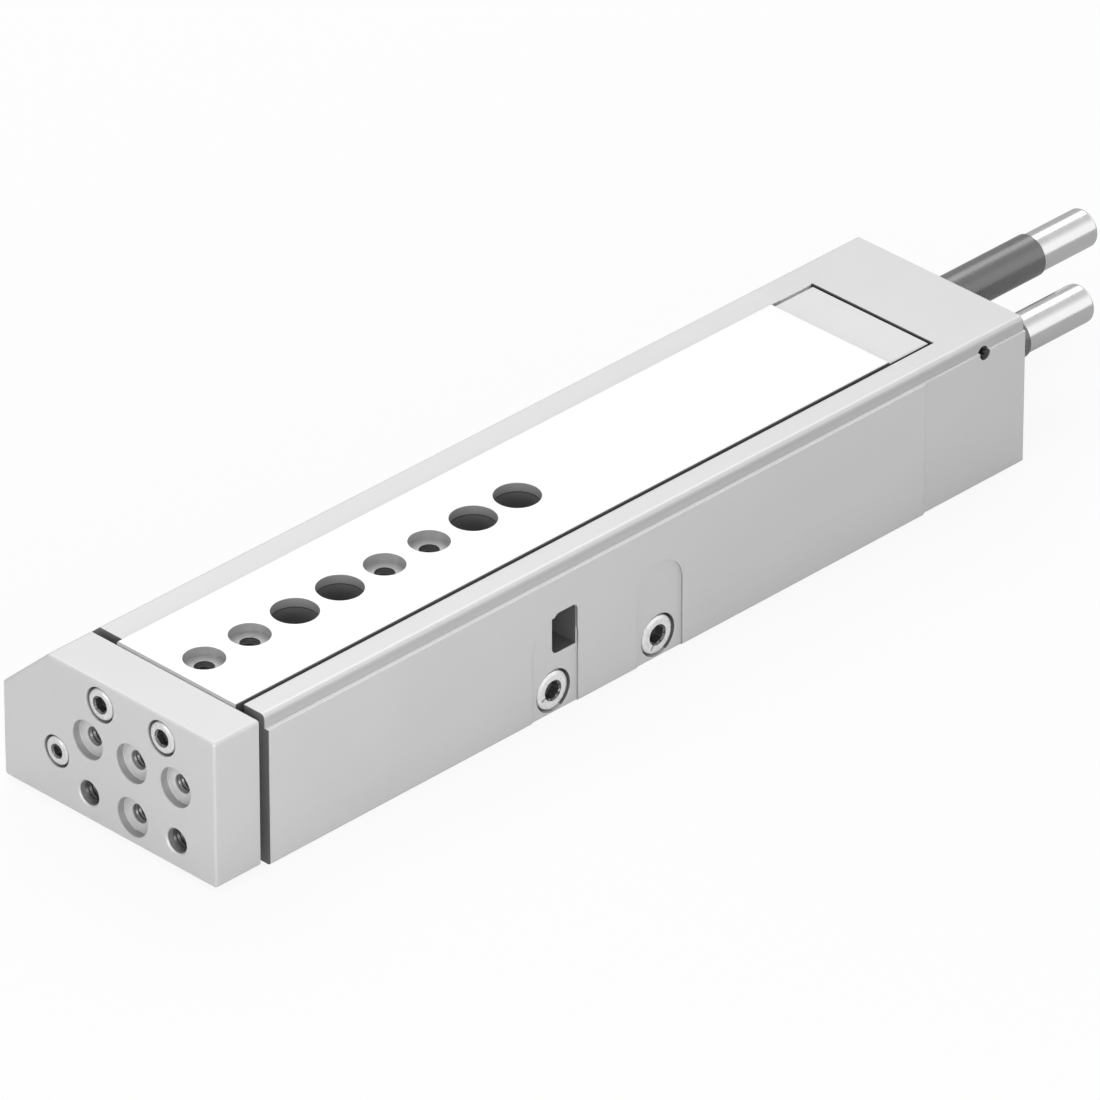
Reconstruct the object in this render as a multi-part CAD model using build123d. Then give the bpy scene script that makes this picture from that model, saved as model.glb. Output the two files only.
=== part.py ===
from build123d import *
from math import floor
import os

# Pneumatic slide table: a flat body with a ball-guided table let into its top, a cylinder beside the guide,
# and two adjustable end stops under the table that come out of the rear.
# Millimetres. +X is the side with the two clamp screws, +Y is the rear, where the stops come out, and +Z is up.
# The origin is the centre of the body's underside.

# Body
body_width = 48.5
body_height = 27.5
block_length = 150.0
cap_length = 24.5
shoulder_width = 10.5
shoulder_drop = 9.5
side_band_height = 2.4
side_band_inset = 0.5
block_proud = 0.35
body_edge_round = 0.5
band_edge_round = 1.0
cap_rear_chamfer = 0.3

# Table and its guide, between a wide land over the cylinder and a narrow wall on the right
cylinder_side_width = 15.75
guide_wall = 5.25
table_thickness = 8.0
table_edge_chamfer = 0.2
table_proud = 0.5
table_lip_height = 2.5
table_rear_setback = 2.5
stroke = 80.0
side_gap = 0.3
ball_diameter = 3.0
ball_pitch = 7.5
ball_play = 0.04
ball_gap = 1.5
cage_thickness = 0.8
cage_height = 3.9
raceway_depth = 2.5
raceway_height = 5.0
raceway_setback = 1.0

# Yoke plate at the front of the table
yoke_thickness = 10.0
yoke_gap = 1.5
yoke_ground_clearance = 0.6
yoke_edge_round = 0.6
yoke_front_round = 0.48
yoke_rear_chamfer = 0.3

# Hole grid shared by the yoke and the table
grid_pitch = 10.0
centring_diameter = 7.0
centring_depth = 1.6
grid_thread_core = 3.4
plain_thread_core = 4.3
thread_chamfer = 0.3
access_diameter = 8.0
yoke_grid_bottom = 5.5
table_first_hole = 6.2
table_hole_pairs = 4

# Bolts that hold the body down, reached through the access holes
body_bolt_clearance = 4.5
body_bolt_seat = 7.0

# Tail plate behind the table
tail_length = 9.6
tail_drop = 0.5
tail_side_gap = 0.6
tail_lug_thickness = 4.6
tail_lug_clearance = 0.5
tail_screw_inset = 5.45

# Channel under the table, and the two end stops in it
stop_drop = 4.2
stop_inset = 5.1
channel_clearance = 0.5
sleeve_diameter = 7.6
sleeve_bore = 5.1
stop_head_diameter = 7.0
stop_shaft_diameter = 5.0
retract_sleeve_reach = 30.5
retract_head_length = 13.1
extend_sleeve_reach = 9.0
extend_head_length = 15.7
thread_fit = 0.05
stop_front_room = 0.2
stop_hexagon = 3.0
stop_hexagon_depth = 3.5
sleeve_chamfer = 0.3
head_edge_round = 0.6
plunger_diameter = 2.2
plunger_travel = 4.4
plunger_length = 18.0
plunger_chamfer = 0.3
plunger_rear_room = 2.0
stop_nut_length = 5.0
stop_buffer_thickness = 1.6
stop_buffer_inset = 0.3

# Front stop block, clamped from the side
upright_thickness = 5.5
upright_half_width = 3.15
foot_bottom = 1.8
foot_wall = 1.2
block_screw_height = 4.0
block_screw_spacing = 24.0
block_screw_setback = 3.6
recess_width = 10.5
recess_height = 18.0
recess_depth = 0.5
window_below = 5.0
window_above = 2.8
window_ahead = 3.9
window_behind = 1.5
window_round = 1.2

# Cylinder beside the guide
cylinder_inset = 12.25
cylinder_drop = 5.6
cylinder_bore = 10.0
rod_diameter = 5.0
rod_bush_length = 8.0
rod_seal_thickness = 2.4
rod_seal_setback = 0.6
piston_length = 12.0
piston_play = 0.08
piston_seal_width = 1.6
piston_seal_depth = 1.1
piston_seal_share = 0.2
magnet_width = 3.0
buffer_thickness = 1.5
buffer_rod_room = 0.6
buffer_play = 0.1
rear_buffer_inset = 0.5
spigot_length = 2.5

# Air ports and air ways in the rear cap and the block
port_core = 4.2
extend_port_depth = 6.5
retract_port_depth = 5.5
port_spacing = 10.0
port_from_seam = 6.5
rear_port_spacing = 8.0
air_way_diameter = 2.0
air_way_wall = 1.4
port_plug_length = 4.0

# Sensor slots in the left side, under the sloping shoulder
sensor_slot_wall = 2.6
sensor_slot_spacing = 7.4
sensor_slot_mouth = 2.8
sensor_slot_round = 4.0
sensor_slot_lip = 1.0

# Fasteners: thread, head and hexagon sizes
m25 = {"thread": 2.5, "head": 4.5, "head_height": 2.5, "hexagon": 2.0}
m3 = {"thread": 3.0, "head": 5.5, "head_height": 3.0, "hexagon": 2.5}
m3_slim = {"thread": 3.0, "head": 5.0, "head_height": 2.2, "hexagon": 2.0}
m4 = {"thread": 4.0, "head": 7.0, "head_height": 3.8, "hexagon": 3.0}
head_room = 0.4
shank_room = 0.3
head_sink = 0.3
hexagon_depth_share = 0.55
head_chamfer_share = 0.06
set_screw_chamfer_share = 0.15
set_screw_hexagon_share = 0.5
foot_end_wall = 1.0
clamp_screw_end_room = 1.0
cap_screw_length = 30.0
cap_screw_wall = 3.25
cap_screw_low = 4.2
cap_screw_aside = 6.5
cap_screw_above = 7.8
yoke_screw_spacing = 14.0
yoke_screw_drop = 4.7
yoke_screw_grip = 8.0
side_plug_diameter = 2.3
side_plug_length = 4.0
side_plug_sink = 0.5
side_plug_from_rear = 10.0
side_plug_drop = 0.3
plug_hexagon = 1.3

# How far a cutter runs past the face that it leaves
past = 1.0

# Places along the length
body_length = block_length + cap_length
front = -body_length / 2
rear = body_length / 2
seam = front + block_length
table_front = front - yoke_gap
table_rear = seam - table_rear_setback
yoke_front = table_front - yoke_thickness
tail_rear = table_rear + tail_length
pocket_rear = tail_rear + side_gap
lug_rear = table_rear + tail_lug_thickness
stop_plane = table_rear - stroke
bush_front = front + rod_seal_setback + rod_seal_thickness

# Places across the width and up the height
half_width = body_width / 2
table_width = body_width - cylinder_side_width - guide_wall - 2 * side_gap
guide_offset = half_width - guide_wall - side_gap - table_width / 2
cylinder_x = -half_width + cylinder_inset
stop_spacing = table_width - 2 * stop_inset
block_side = half_width + block_proud
band_side = half_width - side_band_inset
band_bottom = body_height - side_band_height
table_top = body_height + table_proud
table_bottom = table_top - table_thickness
lip_bottom = table_top - table_lip_height
stop_height = table_bottom - stop_drop
cylinder_height = stop_height - cylinder_drop
tail_top = table_top - tail_drop
lip_half = table_width / 2
pocket_half = lip_half + side_gap
flank_half = pocket_half - ball_gap
ball_radius = ball_diameter / 2
ball_line_half = (flank_half + pocket_half) / 2
ball_height = (table_bottom + lip_bottom) / 2
channel_radius = sleeve_diameter / 2 + channel_clearance
channel_half = stop_spacing / 2 + channel_radius
channel_bottom = stop_height - channel_radius
pocket_bottom = table_bottom - channel_clearance
air_way_height = cylinder_height + cylinder_bore / 2 + air_way_wall + air_way_diameter / 2
retract_x = guide_offset - stop_spacing / 2
extend_x = guide_offset + stop_spacing / 2


def bar_x(radius, low, high, y, z):
    """A round bar along X."""
    bar = Cylinder(radius, high - low, align=(Align.CENTER, Align.CENTER, Align.MIN))
    return Pos(low, y, z) * Rot(0, 90, 0) * bar


def bar_y(radius, low, high, x, z):
    """A round bar along Y."""
    bar = Cylinder(radius, high - low, align=(Align.CENTER, Align.CENTER, Align.MIN))
    return Pos(x, low, z) * Rot(-90, 0, 0) * bar


def bar_z(radius, low, high, x, y):
    """A round bar along Z."""
    return Pos(x, y, low) * Cylinder(radius, high - low, align=(Align.CENTER, Align.CENTER, Align.MIN))


def slab(x_low, x_high, y_low, y_high, z_low, z_high):
    """A box between two corners."""
    centre = Pos((x_low + x_high) / 2, (y_low + y_high) / 2, (z_low + z_high) / 2)
    return centre * Box(x_high - x_low, y_high - y_low, z_high - z_low)


def section_at(y):
    """The plane across the body at y, with its own X along +X and its own Y up."""
    return Plane(origin=(0, y, 0), x_dir=(1, 0, 0), z_dir=(0, -1, 0))


def run_between(profile, low, high):
    """A section drawn across the body, run along Y from low to high."""
    return extrude(section_at(high) * profile, amount=high - low)


def turned_y(outline, x, z):
    """A solid turned about a line along Y, from points (distance along Y, radius) of its half outline."""
    half = make_face(Polyline(*[(radius, along) for along, radius in outline], close=True))
    return Pos(x, 0, z) * Rot(-90, 0, 0) * Rot(0, 0, 90) * revolve(Plane.XZ * half, Axis.Z)


def socket_screw(size, length):
    """A socket-head screw that points down -Z, with the top of its head at the origin."""
    head = Pos(0, 0, -size["head_height"]) * Cylinder(
        size["head"] / 2, size["head_height"], align=(Align.CENTER, Align.CENTER, Align.MIN)
    )
    head = chamfer(head.faces().sort_by(Axis.Z)[-1].edges(), size["head"] * head_chamfer_share)
    shank = Cylinder(size["thread"] / 2, length, align=(Align.CENTER, Align.CENTER, Align.MAX))
    socket = extrude(RegularPolygon(size["hexagon"] / 2, 6, major_radius=False),
                     amount=-size["head_height"] * hexagon_depth_share)
    return head + Pos(0, 0, -size["head_height"]) * shank - socket


def set_screw(radius, length, hexagon):
    """A headless screw that points down -Z, with its socket end at the origin."""
    screw = Cylinder(radius, length, align=(Align.CENTER, Align.CENTER, Align.MAX))
    screw = chamfer(screw.faces().sort_by(Axis.Z)[-1].edges(), radius * set_screw_chamfer_share)
    return screw - extrude(RegularPolygon(hexagon / 2, 6, major_radius=False),
                           amount=-length * set_screw_hexagon_share)


def facing(x, y, z, outward):
    """The place of a screw whose head looks along outward."""
    return Plane(origin=(x, y, z), z_dir=outward).location


def tapped_hole_y(core, mouth, low, high, x, z):
    """A tapped hole through a plate along Y, with a chamfer at its mouth on the low side."""
    chamfer_end = low + mouth - core
    outline = [(low - past, 0), (low - past, mouth), (low, mouth), (chamfer_end, core),
               (high, core), (high, 0)]
    return turned_y(outline, x, z)


def body_outline(side, inset_top):
    """The body's section: a rectangle with a sloping shoulder at top left and a band set back at top right."""
    left = -side
    points = [
        (left, 0),
        (side, 0),
        (side, band_bottom),
        (side - inset_top, band_bottom),
        (side - inset_top, body_height),
        (-half_width + shoulder_width, body_height),
        (left, body_height - shoulder_drop),
    ]
    return make_face(Polyline(*points, close=True))


def table_pocket(low, high):
    """The room for the table and for the stops under it, from low to high along Y."""
    upper = slab(guide_offset - pocket_half, guide_offset + pocket_half, low, high,
                 pocket_bottom, body_height + past)
    round_bottom = SlotOverall(2 * channel_half, 2 * channel_radius)
    channel = run_between(Pos(guide_offset, stop_height) * round_bottom, low, high)
    throat = slab(guide_offset - channel_half, guide_offset + channel_half, low, high,
                  stop_height, pocket_bottom + past)
    return upper + channel + throat


def table_hole_places():
    """Y of each hole along the table, counted from the front, with whether it is an access hole."""
    places = []
    for number in range(2 * table_hole_pairs):
        is_access = (number // 2) % 2 == 1
        places.append((table_front + table_first_hole + number * grid_pitch, is_access))
    return places


def body_bolt_places():
    """Y of each hold-down hole: those under the table's access holes."""
    return [y for y, is_access in table_hole_places() if is_access]


def sensor_slot_places():
    """Z of the two sensor slots, counted down from the foot of the shoulder."""
    upper = body_height - shoulder_drop - sensor_slot_wall - sensor_slot_round / 2
    return [upper, upper - sensor_slot_spacing]


def cap_screw_places():
    """X and Z of the four screws that hold the rear cap."""
    right = half_width - cap_screw_wall
    return [
        (right, cap_screw_low),
        (right, stop_height),
        (cylinder_x - cap_screw_aside, cylinder_height + cap_screw_above),
        (retract_x, cap_screw_low),
    ]


def long_edges(solid, places):
    """The edges along Y that pass through the given X, Z places."""
    found = []
    for edge in solid.edges().filter_by(Axis.Y):
        middle = edge.center()
        if any(abs(middle.X - x) < 0.01 and abs(middle.Z - z) < 0.01 for x, z in places):
            found.append(edge)
    return found


# The body block: an extruded section with everything cut into it

def housing_block():
    side = block_side
    block = run_between(body_outline(side, side - band_side), front, seam)
    corners = [
        (-side, 0), (side, 0), (-half_width + shoulder_width, body_height), (-side, body_height - shoulder_drop),
    ]
    block = fillet(long_edges(block, corners), body_edge_round)
    block = fillet(long_edges(block, [(band_side, body_height)]), band_edge_round)
    block -= table_pocket(front - past, seam + past)

    # Grooves for the hardened raceways
    groove_half = pocket_half + raceway_depth
    groove_low = ball_height - raceway_height / 2
    block -= slab(guide_offset - groove_half, guide_offset + groove_half, front - past, seam + past,
                  groove_low, groove_low + raceway_height)

    # Cylinder bore and the air way to its front end
    block -= bar_y(cylinder_bore / 2, front - past, seam + past, cylinder_x, cylinder_height)
    way_radius = air_way_diameter / 2
    way_front = bush_front + rod_bush_length + buffer_thickness
    block -= bar_y(way_radius, way_front, seam + past, cylinder_x, air_way_height)
    block -= bar_z(way_radius, cylinder_height, air_way_height, cylinder_x, way_front + way_radius)

    # Sensor slots: a round channel with a narrower mouth
    for height in sensor_slot_places():
        depth = sensor_slot_lip + sensor_slot_round / 2
        block -= bar_y(sensor_slot_round / 2, front - past, seam + past, -side + depth, height)
        block -= slab(-side - past, -side + depth, front - past, seam + past,
                      height - sensor_slot_mouth / 2, height + sensor_slot_mouth / 2)

    # Hold-down bolts: a seat for the head, a clearance hole and a centring recess underneath
    for y in body_bolt_places():
        block -= bar_z(access_diameter / 2, body_bolt_seat, channel_bottom + past, guide_offset, y)
        block -= bar_z(body_bolt_clearance / 2, -past, body_bolt_seat + past, guide_offset, y)
        block -= bar_z(centring_diameter / 2, -past, centring_depth, guide_offset, y)

    # Pocket in the channel's floor for the foot of the stop block
    block -= slab(foot_left, foot_right, foot_front, foot_rear, foot_bottom, stop_height)

    # Side recesses, open at the bottom edge, with the seats of the clamp screws
    for y in block_screw_places():
        top = recess_height - recess_width / 2
        block -= bar_x(recess_width / 2, side - recess_depth, side + past, y, top)
        block -= slab(side - recess_depth, side + past, y - recess_width / 2, y + recess_width / 2,
                      -past, top)
        seat = side - recess_depth - m4["head_height"] - head_sink
        block -= bar_x(m4["head"] / 2 + head_room, seat, side + past, y, block_screw_height)
        block -= bar_x(m4["thread"] / 2 + shank_room, foot_right - past, seat + past, y, block_screw_height)

    # Window through which the front stop is seen
    window = slab(extend_x, side + past, stop_plane - window_ahead, stop_plane + window_behind,
                  stop_height - window_below, stop_height + window_above)
    rounded = [edge for edge in window.edges().filter_by(Axis.X)
               if edge.center().Z > stop_height or edge.center().Y < stop_plane]
    block -= fillet(rounded, window_round)

    # Tapped holes for the rear cap's screws
    for x, z in cap_screw_places():
        block -= bar_y(m25["thread"] / 2, seam - cap_screw_grip() - past, seam + past, x, z)
    return block


def cap_screw_grip():
    """How far a cap screw reaches into the block."""
    return cap_screw_length + m25["head_height"] + head_sink - cap_length


# The stop block sits in the channel with its foot let into the floor

foot_left = guide_offset + access_diameter / 2 + foot_wall
foot_right = guide_offset + channel_half
stop_nut_front = stop_plane - side_gap - stop_buffer_thickness - stop_nut_length
upright_front = stop_nut_front - upright_thickness
foot_front = upright_front
foot_rear = stop_plane - block_screw_setback + block_screw_spacing + m4["head"] + foot_end_wall


def block_screw_places():
    """Y of the two clamp screws."""
    first = stop_plane - block_screw_setback
    return [first, first + block_screw_spacing]


def stop_block():
    foot = slab(foot_left, foot_right, foot_front, foot_rear, foot_bottom, channel_bottom)
    upright = slab(extend_x - upright_half_width, foot_right, upright_front, stop_nut_front,
                   channel_bottom, table_bottom - channel_clearance)
    block = foot + upright
    block -= bar_y(stop_shaft_diameter / 2 + thread_fit, upright_front - past, stop_nut_front + past,
                   extend_x, stop_height)
    for y in block_screw_places():
        block -= bar_x(m4["thread"] / 2, foot_left - past, foot_right + past, y, block_screw_height)
    return block


def block_screws():
    head_face = block_side - recess_depth - head_sink
    length = head_face - m4["head_height"] - foot_left - clamp_screw_end_room
    screw = socket_screw(m4, length)
    return [facing(head_face, y, block_screw_height, (1, 0, 0)) * screw for y in block_screw_places()]


# The rear cap closes the cylinder and carries the stops

def rear_cap():
    cap = run_between(body_outline(half_width, side_band_inset), seam, rear)
    corners = [
        (-half_width, 0), (half_width, 0), (-half_width + shoulder_width, body_height),
        (-half_width, body_height - shoulder_drop),
    ]
    cap = fillet(long_edges(cap, corners), body_edge_round)
    cap = fillet(long_edges(cap, [(band_side, body_height)]), band_edge_round)
    cap = chamfer(cap.faces().sort_by(Axis.Y)[-1].outer_wire().edges(), cap_rear_chamfer)

    # The pocket's last stretch, over the tail plate
    cap -= table_pocket(seam - past, pocket_rear)

    # Bores for the two sleeves
    for x in (retract_x, extend_x):
        cap -= bar_y(sleeve_diameter / 2 + thread_fit, pocket_rear - past, rear + past, x, stop_height)

    # Spigot that closes the cylinder
    cap += bar_y(cylinder_bore / 2 - thread_fit, seam - spigot_length, seam + past, cylinder_x, cylinder_height)

    # Ports on the left side, and the same two on the rear face
    port_radius = port_core / 2
    for y, depth in side_port_places():
        cap -= bar_x(port_radius, -half_width - past, -half_width + depth, y, cylinder_height)
    for x in rear_port_places():
        cap -= bar_y(port_radius, rear - retract_port_depth, rear + past, x, cylinder_height)

    # Air ways from the side ports: straight into the cylinder, and up to the drilling along the block
    way_radius = air_way_diameter / 2
    for y, depth in side_port_places():
        cap -= bar_x(way_radius, -half_width + depth - past, cylinder_x, y, cylinder_height)
    near, far = [y for y, depth in side_port_places()]
    cap -= bar_y(way_radius, seam - spigot_length - past, near + way_radius, cylinder_x, cylinder_height)
    cap -= bar_z(way_radius, cylinder_height, air_way_height + way_radius, cylinder_x, far)
    cap -= bar_y(way_radius, seam - past, far, cylinder_x, air_way_height)

    # Screw seats
    for x, z in cap_screw_places():
        seat = rear - m25["head_height"] - head_sink
        cap -= bar_y(m25["head"] / 2 + head_room / 2, seat, rear + past, x, z)
        cap -= bar_y(m25["thread"] / 2 + shank_room / 2, seam - past, seat + past, x, z)

    # Small plug in the side, across the edge of the band
    cap -= bar_x(side_plug_diameter / 2, side_plug_inner(), half_width + past, side_plug_y(), side_plug_height())
    return cap


def side_port_places():
    """Y and depth of the two ports in the left side; air in the nearer one pushes the table out."""
    near = seam + port_from_seam
    return [(near, extend_port_depth), (near + port_spacing, retract_port_depth)]


def rear_port_places():
    """X of the two ports in the rear face."""
    return [cylinder_x - rear_port_spacing / 2, cylinder_x + rear_port_spacing / 2]


def side_plug_y():
    return rear - side_plug_from_rear


def side_plug_height():
    return band_bottom - side_plug_drop


def side_plug_inner():
    return band_side - side_plug_sink - side_plug_length


def side_plug():
    face = band_side - side_plug_sink
    return facing(face, side_plug_y(), side_plug_height(), (1, 0, 0)) * set_screw(
        side_plug_diameter / 2, side_plug_length, plug_hexagon
    )


def port_plugs():
    face = rear - head_sink
    plug = set_screw(port_core / 2, port_plug_length, m3["hexagon"])
    return [facing(x, face, cylinder_height, (0, 1, 0)) * plug for x in rear_port_places()]


def cap_screws():
    screw = socket_screw(m25, cap_screw_length)
    return [facing(x, rear - head_sink, z, (0, 1, 0)) * screw for x, z in cap_screw_places()]


# The guide: raceways in the body, grooves in the table, caged balls between them

def raceway(side):
    """A hardened strip in the pocket's wall; side is -1 for the left one and +1 for the right one."""
    inner = guide_offset + side * pocket_half
    outer = guide_offset + side * (pocket_half + raceway_depth)
    low = ball_height - raceway_height / 2
    strip = slab(min(inner, outer), max(inner, outer), front + raceway_setback, seam - raceway_setback,
                 low, low + raceway_height)
    track = bar_y(ball_radius + ball_play, front - past, seam + past,
                  guide_offset + side * ball_line_half, ball_height)
    return strip - track


def ball_places():
    """Y of each ball at rest: as many as stay under the table when it is fully out."""
    shared = stop_plane - front - 3 * raceway_setback
    count = floor(shared / ball_pitch)
    first = front + 2 * raceway_setback + stroke / 2 + ball_pitch / 2
    return [first + number * ball_pitch for number in range(count)]


def ball_row(side):
    x = guide_offset + side * ball_line_half
    return [Pos(x, y, ball_height) * Sphere(ball_radius) for y in ball_places()]


def ball_cage(side):
    x = guide_offset + side * ball_line_half
    low = ball_places()[0] - ball_pitch / 2
    high = ball_places()[-1] + ball_pitch / 2
    cage = slab(x - cage_thickness / 2, x + cage_thickness / 2, low, high,
                ball_height - cage_height / 2, ball_height + cage_height / 2)
    for y in ball_places():
        cage -= bar_x(ball_radius + ball_play, x - cage_thickness, x + cage_thickness, y, ball_height)
    return cage


# The table: a lip that fills the pocket's mouth over a narrower bar with the ball tracks

def table_plate():
    lip = slab(guide_offset - lip_half, guide_offset + lip_half, table_front, table_rear, lip_bottom, table_top)
    bar = slab(guide_offset - flank_half, guide_offset + flank_half, table_front, table_rear,
               table_bottom, lip_bottom)
    table = lip + bar
    table = chamfer(table.faces().sort_by(Axis.Z)[-1].edges(), table_edge_chamfer)
    for side in (-1, 1):
        table -= bar_y(ball_radius + ball_play, table_front - past, table_rear + past,
                       guide_offset + side * ball_line_half, ball_height)
    for y, is_access in table_hole_places():
        if is_access:
            table -= bar_z(access_diameter / 2, table_bottom - past, table_top + past, guide_offset, y)
        else:
            table -= bar_z(grid_thread_core / 2, table_bottom - past, table_top + past, guide_offset, y)
            table -= bar_z(centring_diameter / 2, table_top - centring_depth, table_top + past, guide_offset, y)
    grip = yoke_screw_grip + past
    for x in yoke_screw_places():
        table -= bar_y(m3["thread"] / 2, table_front - past, table_front + grip, x, yoke_screw_height())
    for x in tail_screw_places():
        table -= bar_y(m3["thread"] / 2, table_rear - grip, table_rear + past, x, tail_screw_height())
    return table


def yoke_screw_places():
    return [guide_offset - yoke_screw_spacing / 2, guide_offset + yoke_screw_spacing / 2]


def yoke_screw_height():
    return table_top - yoke_screw_drop


def tail_screw_places():
    return [guide_offset - lip_half + tail_screw_inset, guide_offset + lip_half - tail_screw_inset]


def tail_screw_height():
    return (table_bottom + tail_top) / 2


def tail_plate():
    cover_half = pocket_half - tail_side_gap
    cover = slab(guide_offset - cover_half, guide_offset + cover_half, table_rear, tail_rear,
                 table_bottom, tail_top)
    cover = chamfer(cover.faces().sort_by(Axis.Z)[-1].edges(), table_edge_chamfer)
    lug_radius = channel_radius - tail_lug_clearance
    lug_bar = SlotOverall(stop_spacing + 2 * lug_radius, 2 * lug_radius)
    lug = run_between(Pos(guide_offset, stop_height) * lug_bar, table_rear, lug_rear)
    lug_half = stop_spacing / 2 + lug_radius
    neck = slab(guide_offset - lug_half, guide_offset + lug_half, table_rear, lug_rear,
                stop_height, table_bottom + past)
    tail = cover + neck + lug
    tail -= bar_y(stop_shaft_diameter / 2 + tail_lug_clearance, table_rear - past, tail_rear + past,
                  extend_x, stop_height)
    for x in tail_screw_places():
        seat = tail_rear - m3["head_height"] - head_sink
        tail -= bar_y(m3["head"] / 2 + head_room / 2, seat, tail_rear + past, x, tail_screw_height())
        tail -= bar_y(m3["thread"] / 2 + shank_room / 2, table_rear - past, seat + past, x, tail_screw_height())
    return tail


def tail_screws():
    length = tail_length - m3["head_height"] - head_sink + yoke_screw_grip
    screw = socket_screw(m3, length)
    face = tail_rear - head_sink
    return [facing(x, face, tail_screw_height(), (0, 1, 0)) * screw for x in tail_screw_places()]


# The yoke plate ties the table and the piston rod together

def yoke_plate():
    half = half_width
    points = [
        (-half, yoke_ground_clearance),
        (half, yoke_ground_clearance),
        (half, body_height),
        (-half + shoulder_width, body_height),
        (-half, body_height - shoulder_drop),
    ]
    plate = run_between(make_face(Polyline(*points, close=True)), yoke_front, table_front)
    plate = fillet(plate.edges().filter_by(Axis.Y), yoke_edge_round)
    plate = fillet(plate.faces().sort_by(Axis.Y)[0].outer_wire().edges(), yoke_front_round)
    plate = chamfer(plate.faces().sort_by(Axis.Y)[-1].outer_wire().edges(), yoke_rear_chamfer)

    for x, z in centred_grid_places():
        plate -= bar_y(centring_diameter / 2, yoke_front - past, yoke_front + centring_depth, x, z)
        plate -= bar_y(grid_thread_core / 2, yoke_front, table_front + past, x, z)
    for x, z in plain_grid_places():
        core = plain_thread_core / 2
        plate -= tapped_hole_y(core, core + thread_chamfer, yoke_front, table_front + past, x, z)

    for x in yoke_screw_places():
        plate -= screw_seat_y(m3, yoke_front, table_front, x, yoke_screw_height())
    plate -= screw_seat_y(m3_slim, yoke_front, table_front, cylinder_x, cylinder_height)
    return plate


def screw_seat_y(size, face, back, x, z):
    """A counterbore and a clearance hole for a screw that goes in from the front."""
    seat = face + size["head_height"] + head_sink
    head = bar_y(size["head"] / 2 + head_room, face - past, seat, x, z)
    return head + bar_y(size["thread"] / 2 + shank_room / 2, seat - past, back + past, x, z)


def centred_grid_places():
    """X and Z of the tapped holes with a centring counterbore: three above and one below."""
    upper = yoke_grid_bottom + grid_pitch
    row = [(guide_offset + step * grid_pitch, upper) for step in (-1, 0, 1)]
    return row + [(guide_offset, yoke_grid_bottom)]


def plain_grid_places():
    return [(guide_offset + step * grid_pitch, yoke_grid_bottom) for step in (-1, 1)]


def yoke_screws():
    length = yoke_thickness - m3["head_height"] - head_sink + yoke_screw_grip
    screw = socket_screw(m3, length)
    face = yoke_front + head_sink
    return [facing(x, face, yoke_screw_height(), (0, -1, 0)) * screw for x in yoke_screw_places()]


def rod_screw():
    length = yoke_thickness - m3_slim["head_height"] - head_sink + yoke_screw_grip
    place = facing(cylinder_x, yoke_front + head_sink, cylinder_height, (0, -1, 0))
    return place * socket_screw(m3_slim, length)


# The cylinder: rod, piston, seals and the bush at the front

def piston_front():
    """The piston stands against the rear buffer when the table is in."""
    return seam - spigot_length - buffer_thickness - side_gap - piston_length


def piston_rod():
    rod = bar_y(rod_diameter / 2, table_front, piston_front(), cylinder_x, cylinder_height)
    rod -= bar_y(m3_slim["thread"] / 2, table_front - past, table_front + yoke_screw_grip + past,
                 cylinder_x, cylinder_height)
    return rod


def piston_groove_places():
    """Y of the middle of each seal's groove, and of the magnet between them."""
    start = piston_front()
    shares = (piston_seal_share, 1 - piston_seal_share)
    return [start + piston_length * share for share in shares], start + piston_length / 2


def ring_y(outer, inner, middle, width, x, z):
    """A plain ring about a line along Y."""
    return bar_y(outer, middle - width / 2, middle + width / 2, x, z) - bar_y(
        inner, middle - width, middle + width, x, z
    )


def piston_parts():
    radius = cylinder_bore / 2 - piston_play
    seal_places, magnet_place = piston_groove_places()
    body = bar_y(radius, piston_front(), piston_front() + piston_length, cylinder_x, cylinder_height)
    seals = []
    for y in seal_places:
        seal = ring_y(radius, radius - piston_seal_depth, y, piston_seal_width, cylinder_x, cylinder_height)
        body -= seal
        seals.append(seal)
    magnet = ring_y(radius, radius - piston_seal_depth, magnet_place, magnet_width, cylinder_x, cylinder_height)
    return body - magnet, seals, magnet


def rod_bush():
    middle = bush_front + rod_bush_length / 2
    return ring_y(cylinder_bore / 2 - thread_fit, rod_diameter / 2 + piston_play, middle, rod_bush_length,
                  cylinder_x, cylinder_height)


def rod_seal():
    middle = front + rod_seal_setback + rod_seal_thickness / 2
    return ring_y(cylinder_bore / 2 - thread_fit, rod_diameter / 2 + piston_play, middle, rod_seal_thickness,
                  cylinder_x, cylinder_height)


def end_buffers():
    """Rubber rings that the piston meets at the ends of its travel."""
    outer = cylinder_bore / 2 - buffer_play
    bush_rear = bush_front + rod_bush_length
    front_middle = bush_rear + buffer_thickness / 2
    front_ring = ring_y(outer, rod_diameter / 2 + buffer_rod_room, front_middle, buffer_thickness,
                        cylinder_x, cylinder_height)
    rear_disc = bar_y(outer - rear_buffer_inset, seam - spigot_length - buffer_thickness, seam - spigot_length,
                      cylinder_x, cylinder_height)
    return [front_ring, rear_disc]


# The two end stops

def stop_sleeve(x, reach):
    """A black sleeve screwed into the rear cap."""
    low = pocket_rear + stop_front_room
    sleeve = bar_y(sleeve_diameter / 2, low, rear + reach, x, stop_height)
    sleeve = chamfer(sleeve.faces().sort_by(Axis.Y)[-1].edges(), sleeve_chamfer)
    return sleeve - bar_y(sleeve_bore / 2, low - past, rear + reach + past, x, stop_height)


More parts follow.
